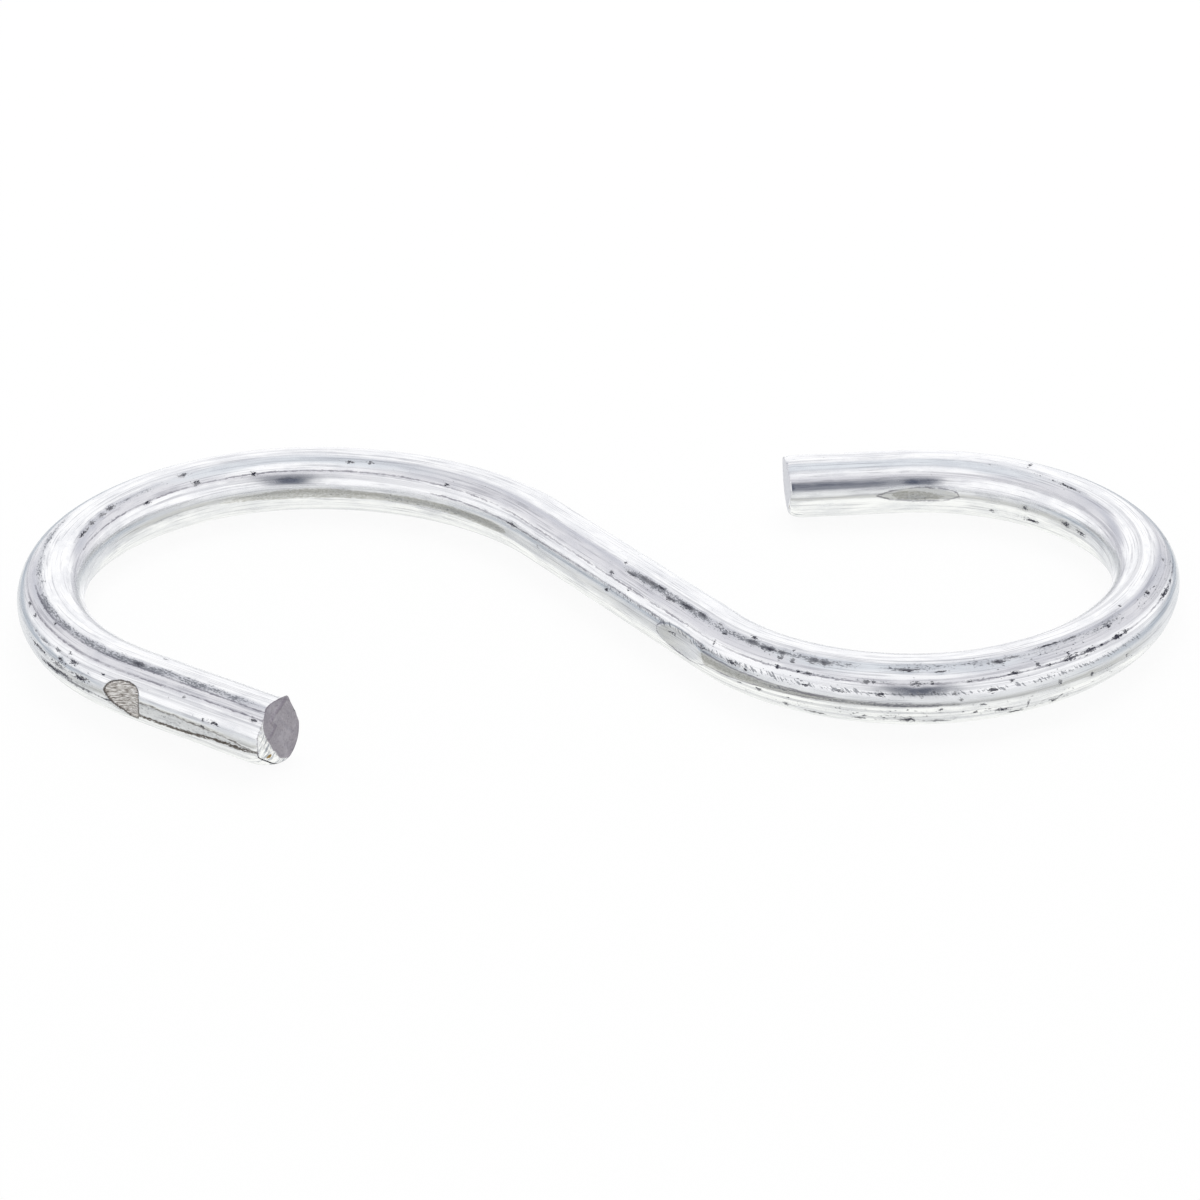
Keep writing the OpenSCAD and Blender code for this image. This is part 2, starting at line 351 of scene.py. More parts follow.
# Rims of the two sheared ends, by direction in the end's own frame: how far the rim stands
# out along the wire, its radius, and how long the wire's side takes to roll over into it
WIDE_RIM = (
    (-64, -0.02, 1.99, 0.15), (-50, -0.06, 2.0, 0.15), (-35, -0.1, 2.0, 0.12),
    (-22, -0.14, 2.0, 0.12), (-4, -0.2, 2.0, 0.12), (8, -0.2, 1.87, 0.5),
    (27, -0.2, 1.8, 0.6), (44, -0.19, 1.95, 0.5), (58, -0.18, 2.23, 0.7),
    (70, -0.18, 2.08, 0.6), (84, -0.18, 2.0, 0.3), (100, -0.16, 2.0, 0.12),
    (110, -0.12, 2.05, 0.3), (114, -0.04, 2.09, 0.3), (120, 0.04, 2.0, 0.1),
    (128, 0.16, 2.0, 0.1), (137, 0.24, 2.0, 0.1), (152, 0.2, 1.99, 0.12),
    (165, 0.19, 1.98, 0.2), (177, 0.22, 1.96, 0.3), (192, 0.1, 1.86, 0.7),
    (206, -0.08, 1.72, 1.0), (220, -0.2, 1.6, 1.1), (232, -0.24, 1.56, 1.15),
    (245, -0.22, 1.6, 1.1), (258, -0.16, 1.74, 0.95), (272, -0.1, 1.88, 0.6),
    (285, -0.05, 1.96, 0.3),
)
TIGHT_RIM = (
    (-30, 0.0, 1.78, 0.8), (-15, 0.0, 1.9, 0.5), (0, 0.02, 1.95, 0.35),
    (20, 0.0, 1.97, 0.3), (45, 0.04, 1.96, 0.4), (70, 0.1, 1.9, 0.8),
    (90, 0.14, 1.84, 1.4), (110, 0.13, 1.88, 1.2), (135, 0.1, 1.97, 0.4),
    (180, 0.0, 1.98, 0.2), (225, -0.08, 1.98, 0.2), (255, -0.12, 1.92, 0.3),
    (275, -0.12, 1.78, 0.7), (295, -0.1, 1.6, 1.05), (310, -0.08, 1.54, 1.15),
    (320, -0.05, 1.62, 1.05),
)
# How each face leans: its rise outwards per millimetre to the left and up, and how far it
# stands out in the middle; which way the blade bit in, and how far the lip there drops back
WIDE_FACE = (-0.105, -0.03, -0.04, 230, 0.32)
TIGHT_FACE = (0.0, 0.07, 0.0, 310, 0.2)
# Where each lip begins: places across the bite, and how far towards the bite
WIDE_LIP = (
    (-1.92, -0.48), (-1.83, -0.1), (-1.45, 0.21), (-1.09, 0.41), (-0.76, 0.57), (-0.33, 0.7),
    (0.0, 0.9), (0.4, 0.93), (0.9, 1.13), (1.4, 1.05), (1.82, 0.9),
)
TIGHT_LIP = ((-1.5, 1.1), (0.0, 1.05), (1.5, 1.15))


def rim_at(psi, rows, column):
    """One column of a rim's rows at any direction, smooth and closed."""
    knots = np.array([row[0] for row in rows], float) % 360
    values = np.array([row[column] for row in rows])
    order = np.argsort(knots)
    return np.interp(psi % 360, knots[order], values[order], period=360)


def lip_start(y, z, face, lip):
    """How far a point on a face is short of its lip, in millimetres; less than 0 is on it."""
    bite = math.radians(face[3])
    toward = y * math.cos(bite) + z * math.sin(bite)
    across = z * math.cos(bite) - y * math.sin(bite)
    places = [row[0] for row in lip]
    return np.interp(across, places, [row[1] for row in lip]) - toward


def face_rise(y, z, face, lip):
    """How far a sheared face stands out at a point across it."""
    left, up, middle, _, lip_drop = face
    past = np.clip(-lip_start(y, z, face, lip), 0, 1.2)
    return middle + left * y + up * z - lip_drop * past**2


def ridge(y, z, line, half_w):
    """A low ridge along a line on a sheared face."""
    pieces = zip(line, line[1:])
    off = [off_piece(y - y0, z - z0, y1 - y0, z1 - z0) for (y0, z0), (y1, z1) in pieces]
    return np.exp(-((np.min(off, 0) / half_w) ** 2))


# Folds of the wide end's face: line, half width, height. Painted shade darkens the face along them.
WIDE_RIDGES = (
    (((0.98, 1.75), (0.44, 1.45), (-0.05, 1.31), (-0.5, 1.05)), 0.14, 0.1),
    (((-0.13, 0.53), (-0.55, 0.23), (-0.86, 0.1)), 0.13, 0.06),
    (((-0.5, 1.05), (-0.13, 0.53)), 0.12, 0.05),
)
# Each sheared end: which way along the wire is out, and the seed of its grain last
WIDE_END = (-1, WIDE_RIM, WIDE_FACE, WIDE_LIP, WIDE_RIDGES, 21)
TIGHT_END = (1, TIGHT_RIM, TIGHT_FACE, TIGHT_LIP, (), 22)


def end_radius(r, from_end, psi, rim):
    """The body's radius near an end, rolled or flared over to the rim's own radius."""
    reach = rim_at(psi, rim, 3)
    share = np.clip(1 - from_end / reach, 0, 1)
    rim_r = rim_at(psi, rim, 2)
    drop = WIRE_R - rim_r
    rolled = 1 - np.sqrt(np.clip(1 - share**2, 0, 1))
    flared = share**2
    return r - drop * np.where(drop > 0, rolled, flared)


def end_shift(from_end, psi, rim):
    """How far the wire's side is drawn out along the wire towards its rim."""
    share = np.clip(1 - from_end / END_REACH, 0, 1)
    return rim_at(psi, rim, 1) * share**2


def on_wire(places, r, around, shift):
    """Points at radius r around the centreline, pushed along it by shift."""
    x, y, h = (p[:, None] for p in places)
    a = np.radians(around)
    across = r * np.cos(a)
    px = x - across * np.sin(h) + shift * np.cos(h)
    py = y + across * np.cos(h) + shift * np.sin(h)
    pz = WIRE_R + r * np.sin(a)
    return np.stack([px, py, pz + 0 * px], -1)


def cap(rim_y, rim_z, rim_x, face, lip, ridges, seed):
    """Rings of points from a sheared end's rim to its middle, in the end's own frame."""
    count = CAP_RINGS
    share = 1 - (np.arange(1, count) / count)[:, None]
    y = rim_y * share
    z = rim_z * share
    torn = rim_x - face_rise(rim_y, rim_z, face, lip)
    x = face_rise(y, z, face, lip) + torn * share**6
    psi = np.degrees(np.arctan2(z, y))
    grain = waves(y * 3 + z * 2, psi * 0 + z * 40, seed, 24, (1.2, 4), (1, 4))
    x = x + 0.012 * grain * np.clip((1 - share) * 5, 0, 1)
    for line, half_w, high in ridges:
        x = x + high * ridge(y, z, line, half_w) * np.clip((1 - share) * 6, 0, 1)
    mid_x = face_rise(0.0, 0.0, face, lip)
    return x, y, z, mid_x


def end_point(place, outwards, x, y, z):
    """Points from an end's own frame (out along the wire, left, up) into the part's."""
    px, py, h = place
    walk_h = h if outwards > 0 else h + math.pi
    ax = math.cos(walk_h)
    ay = math.sin(walk_h)
    return np.stack([px + x * ax - y * ay, py + x * ay + y * ax, WIRE_R + z], -1)


# Bands of scratchy dirt: from and to along the wire, direction, half width in degrees, strength
STREAKS = (
    (-76.3, -53, 71, 9, 0.95), (-74, -59, 66, 4, 1.05), (-57, -43, 75, 10, 0.75),
    (-47, -38, 82, 12, 0.3), (-62, -44, 20, 22, 0.3), (-49, -36, 121, 5, 0.7),
    (-50, -36, 164, 4, 0.5), (-24, -9, 183, 7, 0.6), (-34, -22, 184, 10, 0.4),
    (-46, -34, 185, 3, 0.6), (-50, -8, 141, 3, 0.4), (-10, 12, 144, 3, 0.4),
    (-1, 21, 118, 8, 1.0), (0, 12, 114, 4, 1.1), (18, 38, 115, 10, 0.75),
    (9.8, 14, 179, 10, 0.9), (12, 18, 179, 6, 1.0), (15, 26, 180, 3.5, 1.0),
    (25, 38, 185, 5, 0.5), (10, 36, 143, 2.5, 0.7), (20, 44, 125, 14, 0.35),
    (36, 50, 130, 14, 0.4), (12, 34, 210, 10, 0.4), (20, 25, 217, 4, 0.8),
    (50, 64, 66, 6, 0.5), (48, 62, 2, 10, 0.5), (54, 63, -20, 6, 0.5),
    (-36, -10, 118, 10, 0.3), (-72, -50, 260, 40, 0.3), (-30, 30, 20, 40, 0.25),
    (30, 60, 235, 40, 0.25), (-66, -57, -6, 9, 0.7), (63, 68, -6, 9, 0.9),
)
SPECKLES = (
    (-66, -50, 15, 30, 0.9), (-76, -66, 20, 20, 0.6), (-48, -30, 120, 16, 0.5),
    (-30, 0, 130, 20, 0.4), (0, 22, 120, 11, 1.0), (20, 44, 118, 16, 0.8),
    (8, 40, 160, 20, 0.6), (10, 44, 200, 22, 0.8), (36, 50, 130, 35, 0.7),
    (50, 73, 90, 40, 0.4), (62, 73, -40, 25, 0.5), (-76, -40, 250, 50, 0.4),
    (-40, 0, 330, 50, 0.4),
)
# A row of fine slanting nicks, as a band
SLANT_ROW = (-0.6, 36.6, 161, 5.5, 1.0)


def bands(s, around, rows, spread):
    """Strength of a list of bands, faded at their ends and sides."""
    total = np.zeros(np.broadcast(s, around).shape)
    for start, stop, side, half_w, strength in rows:
        fade = np.clip((s - start) / spread, 0, 1) * np.clip((stop - s) / spread, 0, 1)
        total = np.maximum(total, strength * fade * np.exp(-((turned(around, side) / half_w) ** 2)))
    return total


def mark_layers(s, around):
    """For each layer, every vertex's offset from the pit near it, in that pit's half sizes."""
    layers = [np.full((*np.broadcast(s, around).shape, 3), FAR_OFF) for _ in range(MARK_LAYERS)]
    taken = [[] for _ in range(MARK_LAYERS)]
    for middle, side, half_l, half_w in PITS:
        reach_l = max(PIT_REACH * half_l, 0.45)
        reach_w = max(PIT_REACH * half_w, 0.4)
        for layer, marks in zip(layers, taken):
            if all(
                abs(middle - m) > reach_l + l + 0.4 or abs(arc(side, a)) > reach_w + w + 0.3
                for m, a, l, w in marks
            ):
                marks.append((middle, side, reach_l, reach_w))
                break
        else:
            continue
        run = s - middle + 0 * around
        across = arc(around, side) + 0 * s
        near = (abs(run) < reach_l) & (abs(across) < reach_w)
        layer[near] = np.stack([run / half_l, across / half_w, 0 * run], -1)[near]
    return layers


def cut_fields(s, around, from_wide, from_tight):
    """What the finish reads at every vertex of the wire's side, by name.

    Distances are in millimetres and more than 0 inside a mark; strengths go from 0 to 1.
    """

    def inside(*outlines):
        return np.maximum(np.max([inside_outline(s, around, each) for each in outlines], 0), -1)

    signed, plain = beside_lines(s, around, SCORES)
    pressed = [WIRE_R - tool_cut(s, around, *dent) for dent in DENTS[:2]]
    wide_lip = lip_on_wire(from_wide, 180 - around, WIDE_RIM)
    outside = np.minimum(from_wide, from_tight) + 0 * around
    return {
        "gouge": inside(GOUGE_OUTLINE),
        "scrape": inside(SCRAPE_OUTLINE),
        "tear": np.maximum(TEAR_HALF_W - off_line(s, around, TEAR), -1),
        "score": np.clip(signed, -1, 1),
        "off_score": np.minimum(plain, 1),
        # Rubbed places, and under the far arc a painted reflection of the table's shadow
        "rubbed": inside(*RUB_AND_SHADOW_REFLECTION),
        "dent": np.maximum(np.maximum(*pressed), -1),
        "lip": np.maximum(wide_lip, lip_on_wire(from_tight, around, TIGHT_RIM)),
        "streak": bands(s, around, STREAKS, 3.0),
        "speckle": bands(s, around, SPECKLES, 4.0),
        "slants": bands(s, around, (SLANT_ROW,), 1.0),
        "fracture": np.where(outside < 1e-6, 0.02, np.maximum(-outside, -1.0)),
        "inside": -outside,
        "fold": 0 * outside,
    }


def lip_on_wire(from_end, psi, rim):
    """How much of the rolled lip shows on the wire's side, from 0 to 1."""
    drop = np.clip((WIRE_R - rim_at(psi, rim, 2) - 0.08) / 0.2, 0, 1)
    return drop * np.clip(1.15 - from_end / rim_at(psi, rim, 3), 0, 1)


def cap_fields(y, z, face, lip, ridges):
    """The same by name on a sheared face, where no mark of the wire's side is."""
    folds = [ridge(y, z, line, half_w) for line, half_w, _ in ridges]
    short = lip_start(y, z, face, lip)
    blank = np.zeros_like(y)
    fields = {name: blank - 1 for name in ("gouge", "scrape", "tear", "rubbed", "dent")}
    fields.update({name: blank + 1 for name in ("score", "off_score")})
    fields.update({name: blank for name in ("streak", "speckle", "slants")})
    fields["lip"] = np.clip(0.5 - short / 0.1, 0, 1)
    fields["fracture"] = np.clip(short, -1, 1)
    fields["inside"] = WIRE_R - np.hypot(y, z)
    # Where painted shade darkens the face, along its folds
    fields["fold"] = np.max(folds, 0) if folds else blank
    return fields


def quads(first, rows, columns):
    """Corner indices of a grid closed around, as rows of four."""
    i, j = np.meshgrid(np.arange(rows - 1), np.arange(columns), indexing="ij")
    k = (j + 1) % columns
    corners = [i * columns + j, i * columns + k, (i + 1) * columns + k, (i + 1) * columns + j]
    return first + np.stack(corners, -1).reshape(-1, 4)


def wire_side(s, places):
    """The wire's side: its radius, its points, unrolled places and pit offsets, its fields."""
    s = s[:, None]
    around = DIRECTIONS[None, :]
    psi_wide = 180 - around
    from_wide = s - WIDE_S
    from_tight = TIGHT_S - s
    r = body_radius(s, around)
    r = end_radius(r, from_wide, psi_wide, WIDE_RIM)
    r = end_radius(r, from_tight, around, TIGHT_RIM)
    shift = end_shift(from_tight, around, TIGHT_RIM) - end_shift(from_wide, psi_wide, WIDE_RIM)
    a = np.radians(around)
    flat = np.stack(np.broadcast_arrays(s, WIRE_R * np.cos(a), WIRE_R * np.sin(a)), -1)
    vectors = [on_wire(places, r, around, shift), flat, *mark_layers(s, around)]
    return r, vectors, cut_fields(s, around, from_wide, from_tight)


def wire_end(end, r, s, place):
    """The same, but for the radius, of one sheared face from its rim in, its middle last."""
    outwards, rim, face, lip, ridges, seed = end
    psi = DIRECTIONS if outwards > 0 else 180 - DIRECTIONS
    turn = np.radians(psi)
    rim_at_end = (r * np.cos(turn), r * np.sin(turn), rim_at(psi, rim, 1))
    x, y, z, mid_x = cap(*(row[None, :] for row in rim_at_end), face, lip, ridges, seed)
    x, y, z = (np.append(part, mid) for part, mid in ((x, mid_x), (y, 0.0), (z, 0.0)))
    flat = np.stack([s + outwards * x, outwards * y, z], -1)
    flat[-1] = (s, 0, 0)
    no_pits = [np.full((x.size, 3), FAR_OFF)] * MARK_LAYERS
    vectors = [end_point(place, outwards, x, y, z), flat, *no_pits]
    return vectors, cap_fields(y, z, face, lip, ridges)


def end_faces(rim_first, first):
    """Corner indices of a sheared face, whose last ring closes on its middle point."""
    rim = rim_first + np.arange(AROUND)
    inner = first + np.arange(AROUND)
    last = inner + (CAP_RINGS - 2) * AROUND
    middle = 0 * last + first + (CAP_RINGS - 1) * AROUND
    outer = np.stack([rim, np.roll(rim, -1), np.roll(inner, -1), inner], -1)
    closing = np.stack([last, np.roll(last, -1), middle, middle], -1)
    return np.concatenate([outer, quads(first, CAP_RINGS - 1, AROUND), closing])


def wire_parts():
    """Places of the rings, and vectors, faces and fields of the whole wire."""
    s = ring_places()
    places = centreline(s)
    r, vectors, fields = wire_side(s, places)
    parts = [(vectors, fields)]
    faces = [quads(0, len(s), AROUND)]
    for ring, end in ((0, WIDE_END), (len(s) - 1, TIGHT_END)):
        first = sum(part[0][0].size for part in parts) // 3
        parts.append(wire_end(end, r[ring], s[ring], places[:, ring]))
        faces.append(end_faces(ring * AROUND, first))
    vectors = [
        np.concatenate([part.reshape(-1, 3) for part in same])
        for same in zip(*(part[0] for part in parts))
    ]
    fields = {name: np.concatenate([part[1][name].ravel() for part in parts]) for name in fields}
    return s, vectors, np.concatenate(faces), fields


def seat(points):
    """Moves the wire's points into the CAD's frame, in metres."""
    low, high = (np.array(corner) / MM for corner in CAD_BOX)
    line = centreline(ring_places())
    middle_x = (line[0].min() + line[0].max()) / 2
    top_y = line[1].max() + WIRE_R
    points = points - np.array([middle_x - (low[0] + high[0]) / 2, top_y - high[1], 0.0])
    return points * MM


def placed(data):
    """A new object in the scene, named as its data is."""
    made = bpy.data.objects.new(data.name, data)
    bpy.context.scene.collection.objects.link(made)
    return made


def store(mesh, name, kind, part, values):
    """Keeps a value at every vertex under a name, for the finish to read."""
    attribute = mesh.attributes.new(name, kind, "POINT")
    attribute.data.foreach_set(part, values.astype(np.float32).ravel())


def make_wire():
    """The hook: one mesh of the bent wire, with what its finish reads at every vertex."""
    s, (points, flat, *layers), faces, fields = wire_parts()
    points = seat(points)
    face_rows = [row[:3] if row[2] == row[3] else row for row in faces.tolist()]
    mesh = bpy.data.meshes.new("bent_zinc_wire")
    mesh.from_pydata(points.tolist(), [], face_rows)
    mesh.validate()
    store(mesh, "wire_at", "FLOAT_VECTOR", "vector", flat)
    for i, layer in enumerate(layers):
        store(mesh, f"pit_off_{i}", "FLOAT_VECTOR", "vector", layer)
    for name, value in fields.items():
        store(mesh, name, "FLOAT", "value", value)
    mesh.polygons.foreach_set("use_smooth", np.ones(len(mesh.polygons), bool))
    sharpen_rims(mesh, len(s))
    unroll(mesh, s, points)
    return placed(mesh)


# A rim nearer the middle than this is rolled over, not torn
ROLLED_RIM_R = 1.83


def sharpen_rims(mesh, rings):
    """The torn parts of both rims are sharp edges; the rolled parts stay smooth."""
    sharp = np.zeros(len(mesh.edges), bool)
    pairs = np.zeros((len(mesh.edges), 2), int)
    mesh.edges.foreach_get("vertices", pairs.ravel())
    last = (rings - 1) * AROUND
    for first, rim, psi in ((0, WIDE_RIM, 180 - DIRECTIONS), (last, TIGHT_RIM, DIRECTIONS)):
        on = ((pairs >= first) & (pairs < first + AROUND)).all(1)
        torn = rim_at(psi, rim, 2) > ROLLED_RIM_R
        sharp |= on & torn[(pairs[:, 0] - first) % AROUND]
    attribute = mesh.attributes.new("sharp_edge", "BOOLEAN", "EDGE")
    attribute.data.foreach_set("value", sharp)


# The unrolled map: strips of the wire, how many stand side by side, the space between as a
# share of the map, and the length round the wire. In millimetres, how far the first end's
# middle stands in, how far apart the two ends are, and the space under them.
STRIPS = 8
STRIP_COLUMNS = 2
GUTTER = 0.012
ROUND_L = 2 * math.pi * WIRE_R
END_MIDDLE = 2.4
END_APART = 6
END_BELOW = 0.2


def corners_of(mesh):
    """The vertex and the face of every corner, and where each face's corners start."""
    loops = np.zeros(len(mesh.loops), int)
    starts, totals = np.zeros((2, len(mesh.polygons)), int)
    mesh.loops.foreach_get("vertex_index", loops)
    mesh.polygons.foreach_get("loop_start", starts)
    mesh.polygons.foreach_get("loop_total", totals)
    return loops, np.repeat(np.arange(len(starts)), totals), starts


def strip_map(loops, face_of, starts, s, scale):
    """Places on the map of the side's corners. A face keeps to one strip and one turn."""
    body = len(s) * AROUND
    on_body = (np.maximum.reduceat(loops, starts) < body)[face_of]
    ring, column = np.divmod(np.minimum(loops, body - 1), AROUND)
    lowest = np.minimum.reduceat(loops, starts)
    face_ring = (np.minimum(lowest, body - 1) // AROUND)[face_of]
    highest = np.zeros(len(starts), int)
    np.maximum.at(highest, face_of, np.where(on_body, column, 0))
    wraps = (column == 0) & on_body & (highest[face_of] == AROUND - 1)
    column = np.where(wraps, AROUND, column)
    strip_l = (s[-1] - s[0]) / STRIPS
    strip = np.minimum(((s[face_ring] - s[0]) / strip_l).astype(int), STRIPS - 1)
    u = ((s[ring] - s[0]) - strip * strip_l) * scale
    u += (strip % STRIP_COLUMNS) * ((strip_l + 0.5) * scale + GUTTER) + GUTTER
    v = column / AROUND * ROUND_L * scale
    v += (strip // STRIP_COLUMNS) * (ROUND_L * scale + GUTTER) + GUTTER
    return u, v


def unroll(mesh, s, points):
    """A map of the wire unrolled into strips side by side, with its two ends after them."""
    loops, face_of, starts = corners_of(mesh)
    rows = STRIPS // STRIP_COLUMNS
    scale = (1 - (rows + 2) * GUTTER) / (rows * ROUND_L + 2 * WIRE_R + 1)
    u, v = strip_map(loops, face_of, starts, s, scale)
    cap_points = (CAP_RINGS - 1) * AROUND + 1
    for i, start_ring in enumerate((0, len(s) - 1)):
        first = len(s) * AROUND + i * cap_points
        on_cap = (loops >= first) & (loops < first + cap_points)
        own = np.zeros(len(starts), bool)
        own[face_of[on_cap]] = True
        here = own[face_of]
        local = points[loops[here]] / MM
        centre = points[first + cap_points - 1] / MM
        rim = points[start_ring * AROUND] / MM - centre
        rim[2] = 0
        way = rim / np.linalg.norm(rim)
        u[here] = ((local - centre) @ way + END_MIDDLE + i * END_APART) * scale + GUTTER
        v[here] = (local[:, 2] + END_BELOW) * scale + rows * (ROUND_L * scale + GUTTER) + GUTTER
    layer = mesh.uv_layers.new(name="OFBake")
    layer.data.foreach_set("uv", np.stack([u, v], -1).astype(np.float32).ravel())


class Graph:
    """Short calls for building the node tree of a material or the world."""

    def __init__(self, owner):
        owner.use_nodes = True
        self.tree = owner.node_tree
        self.tree.nodes.clear()

    def node(self, kind, inputs=None, **settings):
        """A new node with its settings, and its inputs fed by name or number."""
        made = self.tree.nodes.new(kind)
        for name, value in settings.items():
            setattr(made, name, value)
        for name, value in (inputs or {}).items():
            if isinstance(value, bpy.types.NodeSocket):
                self.tree.links.new(value, made.inputs[name])
            elif value is not None:
                made.inputs[name].default_value = value
        return made

    def maths(self, operation, a, b=None):
        return self.node("ShaderNodeMath", {0: a, 1: b}, operation=operation).outputs[0]

    def add(self, a, b):
        return self.maths("ADD", a, b)

    def times(self, a, b):
        return self.maths("MULTIPLY", a, b)

    def most(self, a, b):
        return self.maths("MAXIMUM", a, b)

    def sway(self, noise, much):
        """A noise made to swing about 0 by so much."""
        return self.times(self.add(noise, -0.5), much)

    def ramp(self, value, low, high, to_low=0.0, to_high=1.0):
        """Value taken smoothly from low..high to to_low..to_high, held outside it."""
        fed = dict(enumerate((value, low, high, to_low, to_high)))
        return self.node("ShaderNodeMapRange", fed, interpolation_type="SMOOTHSTEP").outputs[0]

    def between(self, value, low, high, soft):
        """1 where value is between low and high, with soft edges."""
        rise = self.ramp(value, low - soft, low + soft)
        return self.times(rise, self.ramp(value, high - soft, high + soft, 1.0, 0.0))

    def mix(self, share, a, b):
        """Colour a where share is 0, and b where it is 1."""
        fed = {0: share, 6: a, 7: b}
        return self.node("ShaderNodeMix", fed, data_type="RGBA", clamp_factor=True).outputs[2]

    def lay(self, colour, rows):
        """The colour with tones laid over it in turn, each by its share."""
        for share, tone in rows:
            colour = self.mix(share, colour, tone)
        return colour

    def blend(self, share, a, b):
        """Number a where share is 0, and b where it is 1."""
        fed = {0: share, 2: a, 3: b}
        return self.node("ShaderNodeMix", fed, data_type="FLOAT", clamp_factor=True).outputs[0]

    def vector(self, *parts):
        return self.node("ShaderNodeCombineXYZ", dict(enumerate(parts))).outputs[0]

    def split(self, vector):
        return self.node("ShaderNodeSeparateXYZ", {0: vector}).outputs

    def noise(self, vector, scale, detail, roughness):
        fed = {"Vector": vector, "Scale": scale, "Detail": detail, "Roughness": roughness}
        return self.node("ShaderNodeTexNoise", fed).outputs[0]

    def field(self, name):
        return self.node("ShaderNodeAttribute", attribute_name=name).outputs["Fac"]

    def offsets(self, name):
        return self.node("ShaderNodeAttribute", attribute_name=name).outputs["Vector"]


# Colours of the finish
ZINC_BRIGHT = (0.93, 0.932, 0.937, 1)
ZINC_DULL = (0.8, 0.807, 0.83, 1)
LINE_GREY = (0.45, 0.455, 0.49, 1)
ZINC_LIP = (0.93, 0.93, 0.935, 1)
STREAK_GREY = (0.42, 0.44, 0.48, 1)
STREAK_DARK = (0.14, 0.15, 0.175, 1)
PIT_DARK = (0.05, 0.05, 0.07, 1)
STEEL_GREY = (0.43, 0.405, 0.44, 1)
STEEL_DARK = (0.25, 0.225, 0.265, 1)
STEEL_LIGHT = (0.6, 0.57, 0.61, 1)
STEEL_PALE = (0.78, 0.78, 0.81, 1)
GOUGE_PALE = (0.88, 0.86, 0.85, 1)
GOUGE_GREY = (0.42, 0.385, 0.36, 1)
GOUGE_DARK = (0.1, 0.085, 0.075, 1)
# Olive of the rubbed places and of the painted reflection of the table's shadow
RUB_AND_SHADOW_OLIVE = (0.37, 0.365, 0.335, 1)
SCORE_PLUM = (0.17, 0.16, 0.2, 1)
BROWN_SPECK = (0.26, 0.17, 0.05, 1)


def pit_mask(g, wobble):
    """Pits of every layer, each a ragged spot in its own half sizes."""
    total = None
    for i in range(MARK_LAYERS):
        x, y, far = g.split(g.offsets(f"pit_off_{i}"))
        off = g.add(g.add(g.times(x, x), g.times(y, y)), g.times(far, far))
        off = g.times(g.maths("SQRT", off), 1.12)
        spot = g.ramp(g.add(off, wobble), 0.8, 1.06, 1.0, 0.0)
        total = spot if total is None else g.most(total, spot)
    return total


def wire_noises(g):
    """Places on the unrolled wire, and the noises there that the parts of the finish share."""
    at = g.offsets("wire_at")
    s, y, z = g.split(at)

    def drawn_out(share, *shape):
        return g.noise(g.vector(g.times(s, share), y, z), *shape)

    n = SimpleNamespace(s=s, y=y, z=z)
    n.across = g.times(g.maths("ARCTAN2", z, y), WIRE_R)
    n.hair_lines = drawn_out(0.02, 8.5, 2.0, 0.6)
    n.drawn_lines = drawn_out(0.01, 3.6, 3.0, 0.6)
    n.broad_lines = drawn_out(0.008, 1.9, 2.0, 0.5)
    n.blotches = drawn_out(0.3, 1.3, 5.0, 0.65)
    n.grain = g.noise(at, 11.0, 4.0, 0.7)
    n.flecks = drawn_out(0.45, 7.5, 3.0, 0.65)
    n.dashes = drawn_out(0.25, 9.0, 5.0, 0.75)
    n.patches = drawn_out(0.3, 1.5, 3.0, 0.6)
    n.mottle = drawn_out(0.42, 15.0, 2.0, 0.6)
    n.scribble = g.add(g.times(n.dashes, 0.5), g.times(n.mottle, 0.5))
    blade_lines(g, n)
    return n


def dirt_masks(g, n):
    """Dirt and small marks: scratchy bands and their haze, specks, nicks, pits, thin lines."""
    dirt = SimpleNamespace()
    streak = g.field("streak")
    streak_edge = g.add(g.times(streak, 0.255), g.sway(n.patches, 0.25))
    dirt.scratchy = g.ramp(g.add(n.scribble, streak_edge), 0.7, 0.735)
    dirt.haze = g.times(g.ramp(streak, 0.1, 1.0), g.ramp(n.patches, 0.3, 0.65, 0.4, 1.0))
    speck_edge = g.times(g.field("speckle"), g.ramp(n.patches, 0.36, 0.62, 0.03, 0.15))
    speck_noise = g.add(g.times(n.flecks, 0.6), g.times(n.mottle, 0.4))
    dirt.specks = g.ramp(g.add(speck_noise, speck_edge), 0.692, 0.722)
    slanting = g.times(g.add(n.s, g.times(n.across, -0.8)), 2.6)
    slant_noise = g.noise(g.vector(slanting, g.times(n.across, 0.9), 3.0), 2.8, 3.0, 0.6)
    dirt.slants = g.ramp(g.add(slant_noise, g.times(g.field("slants"), 0.24)), 0.73, 0.77)
    dirt.pits = pit_mask(g, g.add(g.sway(n.mottle, 4.6), g.sway(n.dashes, 4.6)))
    score = g.add(g.maths("ABSOLUTE", g.field("score")), g.sway(n.dashes, 0.35))
    near_score = g.ramp(g.field("off_score"), 0.1, 0.16, 1.0, 0.0)
    scores = g.ramp(score, SCORE_HALF_W - 0.03, SCORE_HALF_W + 0.02, 1.0, 0.0)
    dirt.scores = g.times(g.times(scores, near_score), g.ramp(n.patches, 0.35, 0.6, 0.4, 0.9))
    return dirt


